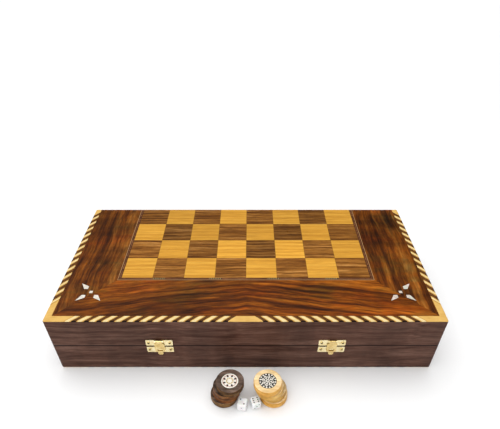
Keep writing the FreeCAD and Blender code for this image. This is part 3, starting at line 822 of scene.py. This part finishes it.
# The outer share of each brown strand that is black: painted shade on the banding's rounded outer
# edge, as well as dark wood.
BLACK_EDGE_SHADE_SHARE = 0.2


def banding_profile():
    # (distance in from the outline, depth below the outer face)
    rows = [(0.0, BANDING_DEPTH), (0.0, EDGE_ROUND)]
    for step in (1, 2, 3):
        angle = ROUND_STEP * step
        rows.append((EDGE_ROUND * (1 - math.cos(angle)), EDGE_ROUND * (1 - math.sin(angle))))
    for inset in (EDGE_ROUND, CORNER_ROUND, 3.6, 4.7, 5.8, 6.9, 8.0, BANDING_WIDTH):
        rows.append((inset, 0.0))
    rows.append((BANDING_WIDTH, BANDING_DEPTH))
    return rows


def lens(share, at_edges, in_middle):
    return at_edges + (in_middle - at_edges) * math.sin(math.pi * share)


def strand_lines(run, twist):
    # Column lines of one arm: (distance from the corner at each row, strand before the line).
    start, end = run
    pitch = (end - start) / TWISTS
    lines = []
    for number in range(TWISTS + 1):
        for at_edges, in_middle, strand in twist if number < TWISTS else twist[:1]:
            line = []
            for inset, _ in banding_profile():
                share = inset / BANDING_WIDTH
                bend = STRAND_LEAN * (0.85 * share + 0.15 * share * share * (3 - 2 * share))
                line.append(start + bend + pitch * (number + lens(share, at_edges, in_middle)))
            lines.append((line, strand))
    lines[0] = (lines[0][0], PLAIN_STRIP)
    return lines


def corner_columns(rows, centre_x, centre_y, from_angle):
    # The rounded corner's own columns, mitred where the rows pass the round.
    columns = []
    way = -1 if centre_y < 0 else 1
    for step in range(5):
        angle = from_angle + ROUND_STEP * step
        line = []
        for inset, depth in rows:
            left = CORNER_ROUND - inset
            if left > 0:
                line.append((centre_x + left * math.cos(angle), centre_y + left * math.sin(angle),
                             depth))
            else:
                line.append((inset - HALF_W, way * (HALF_D - inset), depth))
        columns.append((line, PLAIN_STRIP))
    return columns


def banding_columns(rows):
    # From the hinge end of the left side, round the front, to the hinge end of the right side.
    columns = [([(BANDING_WIDTH - HALF_W, HALF_D - inset, depth) for inset, depth in rows],
                PLAIN_STRIP)]
    centre_x, centre_y = HALF_W - CORNER_ROUND, HALF_D - CORNER_ROUND
    columns += corner_columns(rows, -centre_x, centre_y, math.pi / 2)
    side = strand_lines(SIDE_RUN, SIDE_TWIST)
    strands = [strand for _, strand in side] + [PLAIN_STRIP]
    for number in range(len(side) - 1, -1, -1):
        line = [(inset - HALF_W, -HALF_D + place, depth)
                for (inset, depth), place in zip(rows, side[number][0])]
        columns.append((line, strands[number + 1]))
    columns += corner_columns(rows, -centre_x, -centre_y, math.pi)
    for places, strand in strand_lines(FRONT_RUN, FRONT_TWIST):
        line = [(-HALF_W + place, -HALF_D + inset, depth)
                for (inset, depth), place in zip(rows, places)]
        columns.append((line, strand))
    columns.append(([(0.0, -HALF_D + inset, depth) for inset, depth in rows], PLAIN_STRIP))
    for number in range(len(columns) - 2, -1, -1):
        line = [(-x, y, depth) for x, y, depth in columns[number][0]]
        columns.append((line, columns[number + 1][1]))
    return columns


def rope_banding(half):
    rows = banding_profile()
    columns = banding_columns(rows)
    index, points, faces, numbers = {}, [], [], []

    def corner(point):
        key = tuple(round(value, 4) for value in point)
        if key not in index:
            index[key] = len(points)
            points.append(point)
        return index[key]

    def face(corners, strand):
        loop = []
        for point in corners:
            number = corner(point)
            if number not in loop:
                loop.append(number)
        if len(loop) > 2:
            faces.append(loop)
            numbers.append(strand)

    for (before, _), (after, strand) in zip(columns, columns[1:]):
        for row in range(len(rows)):
            above = (row + 1) % len(rows)
            shown = strand
            # Partly painted shade: the brown strands turn black on the rounded outer edge.
            if strand == BROWN_STRAND and rows[above][0] < BLACK_EDGE_SHADE_SHARE * BANDING_WIDTH:
                shown = BLACK_STRAND
            if row < 2 or above == 0:
                shown = RAIL_SIDE
            face((before[row], after[row], after[above], before[above]), shown)
    face(columns[0][0], PLAIN_STRIP)
    face(columns[-1][0][::-1], PLAIN_STRIP)
    woods = (strand_gold, strand_cream, strand_brown, strand_plain, black_wood, walnut_rail)
    parts = (points, faces, woods, numbers)
    half_piece(half, "rope_banding", parts, "banding", 30.0)


# ---- playing field inlays

FIELD_LOW = FIELD - VENEER
POINT_PITCH = 2 * INNER_Y / 6
POINT_GAP = 8.7
POINT_HALF = (POINT_PITCH - POINT_GAP) / 2
POINT_LENGTH = 143.0
EDGING = 4.5
TIP_START = 0.727 * POINT_LENGTH
TIP_END = 0.916 * POINT_LENGTH
TIP_LINE = 0.6
LOZENGE_PITCH = 11.6
LOZENGE_START = 3.2
LOZENGE_LONG = 2.3
LOZENGE_WIDE = 1.35
LOZENGE_CLEAR = 3.0


def edging_shapes(side, y):
    slope = POINT_HALF / POINT_LENGTH

    def on_wall(points):
        return [(side * (INNER_X - along), y + across) for along, across in points]

    blade_half = POINT_HALF - EDGING
    tip_half = slope * (POINT_LENGTH - TIP_START) - TIP_LINE
    shapes = [(on_wall(((0, -POINT_HALF), (0, POINT_HALF), (POINT_LENGTH, 0))), pale_wood)]
    for way in (-1, 1):
        along = LOZENGE_START + (LOZENGE_PITCH / 2 if way * side > 0 else 0.0)
        while along <= TIP_START - LOZENGE_CLEAR:
            across = way * (POINT_HALF - slope * along - EDGING / 2)
            lozenge = ((along - LOZENGE_LONG, across), (along, across - LOZENGE_WIDE),
                       (along + LOZENGE_LONG, across), (along, across + LOZENGE_WIDE))
            shapes.append((on_wall(lozenge), black_wood))
            along += LOZENGE_PITCH
    blade = ((0, -blade_half), (0, blade_half), (blade_half / slope, 0))
    tip = ((TIP_START, -tip_half), (TIP_START, tip_half), (TIP_END, 0))
    return shapes + [(on_wall(blade), None), (on_wall(tip), None)]


def point_edging(half):
    points, faces, woods, numbers = [], [], [pale_wood, black_wood], []
    for side in (-1, 1):
        for number in range(6):
            y = -INNER_Y + POINT_PITCH * (number + 0.5)
            more, cells, these, marks = marquetry(edging_shapes(side, y), FIELD_LOW, FIELD)
            faces += [[corner + len(points) for corner in cell] for cell in cells]
            numbers += [woods.index(these[mark]) for mark in marks]
            points += more
    parts = (points, faces, woods, numbers)
    half_piece(half, "point_edging_lozenges", parts, "point_edging")


GROUND = 62.5
BORDER_IN = 65.5
BORDER_OUT = 79.5
BORDER_MIDDLE = (BORDER_IN + BORDER_OUT) / 2
RHOMBUS = 0.824 * GROUND
ROSETTE_PLACE = 0.69 * GROUND
ROSETTE_HALF = 0.176 * GROUND
ROSETTE_SPOTS = [(x * ROSETTE_PLACE, y * ROSETTE_PLACE) for x in (-1, 1) for y in (-1, 1)]
# The border's edge lines, corner squares, crosses and blocks.
BORDER_LINE = 1.0
CORNER_HALF = 4.8
CROSS_PLACES = (-57.0, -25.5, 0.0, 25.5, 57.0)
CROSS_LEAN = 4.2
CROSS_REACH = (BORDER_OUT - BORDER_IN) / 2 - BORDER_LINE
CROSS_HALF = 0.6
BLOCK_PLACES = (-41.0, 41.0)
BLOCK_LONG, BLOCK_TOP, BLOCK_WIDE = 11.0, 9.0, 4.4
# The ground's dashed rim and the line inside it.
DASHES = 11
DASH_PITCH = 10.6
DASH_HALF = 3.3
DASH_OUT, DASH_IN = 60.2, 57.2
LINE_OUT, LINE_IN = 55.4, 54.6


def turn_quarter(points, quarter):
    for _ in range(quarter):
        points = [(-y, x) for x, y in points]
    return points


def border_shapes():
    shapes = [(square(BORDER_OUT), gold_wood), (square(BORDER_IN), None)]
    front, back = -BORDER_MIDDLE - CROSS_REACH, -BORDER_MIDDLE + CROSS_REACH
    for quarter in range(4):
        for edge, line in ((BORDER_OUT, -BORDER_LINE), (BORDER_IN, BORDER_LINE)):
            strip = [(-edge, -edge), (edge, -edge), (edge + line, -edge - line),
                     (-edge - line, -edge - line)]
            shapes.append((turn_quarter(strip, quarter), cream_wood))
        corner = square(CORNER_HALF, -BORDER_MIDDLE, -BORDER_MIDDLE)
        shapes.append((turn_quarter(corner, quarter), orange_wood))
        for place in CROSS_PLACES:
            for lean in (-CROSS_LEAN, CROSS_LEAN):
                cross = [(place - lean - CROSS_HALF, front), (place - lean + CROSS_HALF, front),
                         (place + lean + CROSS_HALF, back), (place + lean - CROSS_HALF, back)]
                shapes.append((turn_quarter(cross, quarter), cream_wood))
        for place in BLOCK_PLACES:
            block = [(place + long, wide - BORDER_MIDDLE) for long, wide in (
                (-BLOCK_LONG, 0.0), (-BLOCK_TOP, -BLOCK_WIDE), (BLOCK_TOP, -BLOCK_WIDE),
                (BLOCK_LONG, 0.0), (BLOCK_TOP, BLOCK_WIDE), (-BLOCK_TOP, BLOCK_WIDE))]
            shapes.append((turn_quarter(block, quarter), crimson_wood))
    return shapes


def rhombus(reach):
    return [(-reach, 0), (0, -reach), (reach, 0), (0, reach)]


def ground_shapes():
    shapes = [(square(GROUND), olive_wood), (square(LINE_IN), maroon_wood)]
    for quarter in range(4):
        for number in range(DASHES):
            along = (number - DASHES // 2) * DASH_PITCH
            dash = oblong(along - DASH_HALF, -DASH_OUT, along + DASH_HALF, -DASH_IN)
            shapes.append((turn_quarter(dash, quarter), old_bone))
        line = oblong(-LINE_IN, -LINE_OUT, LINE_IN, -LINE_IN)
        shapes.append((turn_quarter(line, quarter), cream_wood))
    for x, y in ROSETTE_SPOTS:
        middle = (x - math.copysign(0.3, x), y - math.copysign(0.3, y))
        shapes.append((square(ROSETTE_HALF + 1.9, *middle), black_wood))
        shapes.append((square(ROSETTE_HALF + 1.1, *middle), gold_wood))
    shapes += [(rhombus(RHOMBUS + 1.2), black_wood), (rhombus(RHOMBUS), None)]
    return shapes + [(square(ROSETTE_HALF, x, y), None) for x, y in ROSETTE_SPOTS]


def motif_shapes():
    shapes = [(rhombus(RHOMBUS), black_wood), (rhombus(RHOMBUS - 1.4), pale_wood),
              (rhombus(RHOMBUS - 2.4), black_wood), (rhombus(RHOMBUS - 3.6), chips),
              (circle(27.4, sides=20, start=math.pi / 20), black_wood),
              (star(0.47 * GROUND, 22.4, 10), yellow_wood), (star(25.6, 19.0, 10), black_wood)]
    shapes += [(petal(17.0, 23.4, 2.0, angle, widest=0.35), olive_wood) for angle in around(10)]
    shapes += [(circle(18.0, sides=40), yellow_wood), (circle(17.0, sides=40), orange_wood),
               (circle(14.6, sides=40), cream_wood), (circle(13.8, sides=40), maroon_wood)]
    shapes += [(petal(4.6, 13.2, 1.7, angle), rose_bone) for angle in around(10)]
    shapes += [(petal(7.0, 13.4, 1.5, angle, widest=0.5), black_wood)
               for angle in around(10, math.pi / 10)]
    shapes += [(circle(4.8, sides=20), yellow_wood), (circle(3.9, sides=20), crimson_wood)]
    for x, y in ROSETTE_SPOTS:
        shapes += [(square(ROSETTE_HALF, x, y), black_wood),
                   (circle(ROSETTE_HALF - 1.0, x, y, 16), olive_wood)]
        for number, angle in enumerate(around(8)):
            wood = old_bone if number % 2 else yellow_wood
            shapes.append((petal(2.0, ROSETTE_HALF - 0.8, 2.3, angle, x, y), wood))
        shapes.append((circle(2.4, x, y, 12), crimson_wood))
    return shapes


# ---- chequer rosettes and pips

ROSETTE_RADIUS = 10.97
ROSETTE_THICK = 0.8
# Each rosette is turned by this much more than the one before, in radians.
FIRST_TURN, NEXT_TURN = 0.4, 1.1


def spot(radius, reach, angle, sides):
    return circle(radius, reach * math.cos(angle), reach * math.sin(angle), sides)


def dark_rosette():
    shapes = [(circle(ROSETTE_RADIUS, sides=40), olive_wood), (circle(10.5, sides=40), bone),
              (circle(8.9, sides=32), rose_bone), (circle(8.2, sides=32), bone)]
    for number, angle in enumerate(around(8)):
        wood = rose_bone if number % 2 else crimson_wood
        shapes.append((petal(4.9, 9.6, 1.35, angle, widest=0.5), wood))
        shapes.append((spot(1.25, 7.0, angle, 10), black_wood))
    return shapes + [(circle(4.6, sides=20), cream_wood), (star(4.3, 2.6, 8), bone)]


def light_rosette():
    shapes = [(circle(ROSETTE_RADIUS, sides=40), black_wood)]
    shapes += [(petal(8.0, 10.8, 1.35, angle, widest=0.55), bone)
               for angle in around(16, math.pi / 16)]
    for angle in around(8):
        shapes.append((petal(2.2, 8.6, 2.1, angle + 0.12, widest=0.62), bone))
        shapes.append((spot(0.85, 5.9, angle + 0.18, 8), black_wood))
    return shapes + [(circle(2.3, sides=16), bone), (circle(1.0, sides=10), black_wood)]


DARK_STACK = ((-27.05, -169.5, 0), (-24.25, -169.0, 9), (-23.05, -171.0, 18), (-19.35, -171.5, 27))
LIGHT_STACK = ((35.55, -169.5, 0), (33.95, -168.0, 9), (29.95, -171.0, 18), (27.35, -171.5, 27))
# Across, and how many chequers lie there in the tray.
STORED = ((216.5, 4), (180.5, 4), (144.5, 3))
STORED_Y = 91.5


def stored_places(side):
    return [(side * x, STORED_Y, FIELD + level * CHEQUER)
            for x, count in STORED for level in range(count)]


def lay_discs(name, body, pattern, places, replaced):
    flat, cells, woods, marks = marquetry(pattern, 0.0, ROSETTE_THICK)
    points, faces, numbers = [], [], []
    for turn, (x, y, z) in enumerate(places):
        angle = FIRST_TURN + NEXT_TURN * turn
        cos, sin = math.cos(angle), math.sin(angle)
        top = z + CHEQUER - ROSETTE_THICK
        faces += [[corner + len(points) for corner in cell] for cell in cells]
        points += [(x + u * cos - v * sin, y + u * sin + v * cos, top + w) for u, v, w in flat]
        numbers += marks
    piece = make_piece(name, body, points, faces, woods, numbers)
    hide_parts(replaced)


DIE_HALF = 6.0
PIP_SPREAD = 2.8
PIP_SIDES = 14
# (distance from the die's middle, radius) from a pip's hidden foot to its top.
PIP_RINGS = ((5.61, 0.92), (5.74, 0.92), (5.7, 0.62))
UP, DOWN = Vector((0, 0, 1)), Vector((0, 0, -1))
FRONT, BACK = Vector((0, -1, 0)), Vector((0, 1, 0))
RIGHT, LEFT = Vector((1, 0, 0)), Vector((-1, 0, 0))


def pip_marks(count):
    reach = PIP_SPREAD
    marks = [(0, 0)] if count % 2 else []
    if count > 2:
        marks += [(-reach, -reach), (reach, reach)]
    if count == 2 or count > 3:
        marks += [(-reach, reach), (reach, -reach)]
    if count > 5:
        marks += [(-reach, 0), (reach, 0)]
    return marks


def pips(die, turn, counts):
    # counts go up, down, front, back, right and left on the die before its turn.
    low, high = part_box(die)  # metres
    middle = Vector(((low[0] + high[0]) * 500, (low[1] + high[1]) * 500, DIE_HALF))
    cos, sin = math.cos(math.radians(turn)), math.sin(math.radians(turn))
    points, loops = [], []
    for count, way in zip(counts, (UP, DOWN, FRONT, BACK, RIGHT, LEFT)):
        across = BACK if way.x else RIGHT
        along = BACK if way.z else UP
        for u, v in pip_marks(count):
            first = len(points)
            for depth, radius in PIP_RINGS:
                for angle in around(PIP_SIDES):
                    spread = across * (u + radius * math.cos(angle))
                    x, y, z = way * depth + spread + along * (v + radius * math.sin(angle))
                    points.append(middle + Vector((x * cos - y * sin, x * sin + y * cos, z)))
            for ring in (first, first + PIP_SIDES):
                for k in range(PIP_SIDES):
                    a, b = ring + k, ring + (k + 1) % PIP_SIDES
                    loops.append([a, b, b + PIP_SIDES, a + PIP_SIDES])
            loops.append([first + 2 * PIP_SIDES + k for k in range(PIP_SIDES)])
            loops.append([first + PIP_SIDES - 1 - k for k in range(PIP_SIDES)])
    piece = make_piece(die + "_pips", die, points, loops, [pip_black], [0] * len(loops))


for half in HALVES:
    rope_banding(half)
    point_edging(half)
    for name, shapes, replaced, slot in (
            ("medallion_border_inlay", border_shapes(), "medallion_border", "medallion_border"),
            ("medallion_ground_inlay", ground_shapes(), "medallion_ground", "medallion_ground"),
            ("medallion_motif_inlay", motif_shapes(), "medallion_motifs", "medallion_motif")):
        half_piece(half, name, marquetry(shapes, FIELD_LOW, FIELD), replaced)

lay_discs("dark_top_rosette_inlay", "dark_top", dark_rosette(), DARK_STACK[3:], "dark_top_rosette")
lay_discs("light_top_rosette_inlay", "light_top", light_rosette(), LIGHT_STACK[3:],
          "light_top_rosette")
lay_discs("dark_resting_rosettes", "base", dark_rosette(),
          list(DARK_STACK[:3]) + stored_places(-1), "resting_rosettes")
lay_discs("light_resting_rosettes", "base", light_rosette(),
          list(LIGHT_STACK[:3]) + stored_places(1), "resting_rosettes")
pips("die_left", -12.0, (2, 5, 1, 6, 4, 3))
pips("die_right", 17.0, (6, 1, 3, 4, 2, 5))


# ---- floor, light and camera

FLOOR_REACH = 14.0
FLOOR_LEVEL = -0.0003
CAMERA_LENS = 31.44
CAMERA_SENSOR = 36.0
CAMERA_SHIFT = 0.095
CAMERA_PLACE = (0.0055, -0.4889, 0.4912)
CAMERA_TILT = 50.1


def white_floor():
    made, place = start_material("white_floor", Specular_IOR_Level=0.0)
    cloud = noise(place, 3.0, 2.0, 0.5)
    colour = ramp(cloud, ((0.3, (0.8, 0.8, 0.8)), (0.7, (0.82, 0.82, 0.82))))
    cover(made, Base_Color=colour, Roughness=ease(cloud, 0.3, 0.7, 0.6, 0.7))
    mesh = bpy.data.meshes.new("floor")
    outline = square(FLOOR_REACH)
    mesh.from_pydata([(x, y, FLOOR_LEVEL) for x, y in outline], [], [(0, 1, 2, 3)])
    mesh.materials.append(made)
    stand("floor", mesh)


def soft_box(name, place, aim, size, power):
    light = bpy.data.lights.new(name, "AREA")
    light.shape = "RECTANGLE"
    light.size, light.size_y = size
    light.energy = power
    turn = (Vector(aim) - Vector(place)).to_track_quat("-Z", "Y").to_euler()
    stand(name, light, place, turn).visible_camera = False


def daylight(name, toward, strength, angle):
    light = bpy.data.lights.new(name, "SUN")
    light.energy = strength
    light.angle = math.radians(angle)
    stand(name, light, turn=Vector(toward).to_track_quat("Z", "Y").to_euler())


def studio_world():
    # Dim for the light that it gives, most of it from above, and white where it is seen.
    world = bpy.data.worlds.new("studio")
    world.use_nodes = True
    tree = world.node_tree
    glow = tree.nodes["Background"]
    glow.inputs["Color"].default_value = (1.0, 1.0, 1.0, 1.0)
    seen = node("LightPath", tree=tree).outputs["Is Camera Ray"]
    toward = node("TexCoord", tree=tree).outputs["Generated"]
    sky = ease(split(toward)[2], 0.6, 0.95, 0.12, 0.8)
    put(glow.inputs["Strength"], ease(seen, 0.0, 1.0, sky, 1.0))
    bpy.context.scene.world = world


def place_camera():
    data = bpy.data.cameras.new("camera")
    data.lens = CAMERA_LENS
    data.sensor_width = CAMERA_SENSOR
    data.shift_y = CAMERA_SHIFT
    turn = (math.radians(CAMERA_TILT), 0.0, 0.0)
    bpy.context.scene.camera = stand("camera", data, CAMERA_PLACE, turn)


white_floor()
studio_world()
daylight("broad_daylight", (-0.14, 0.14, 1.0), 2.85, 84.0)
soft_box("front_softbox", (-0.35, -1.3, 0.5), (0.0, -0.05, 0.05), (1.4, 0.6), 7.0)
place_camera()
bpy.context.scene.view_settings.view_transform = "Standard"
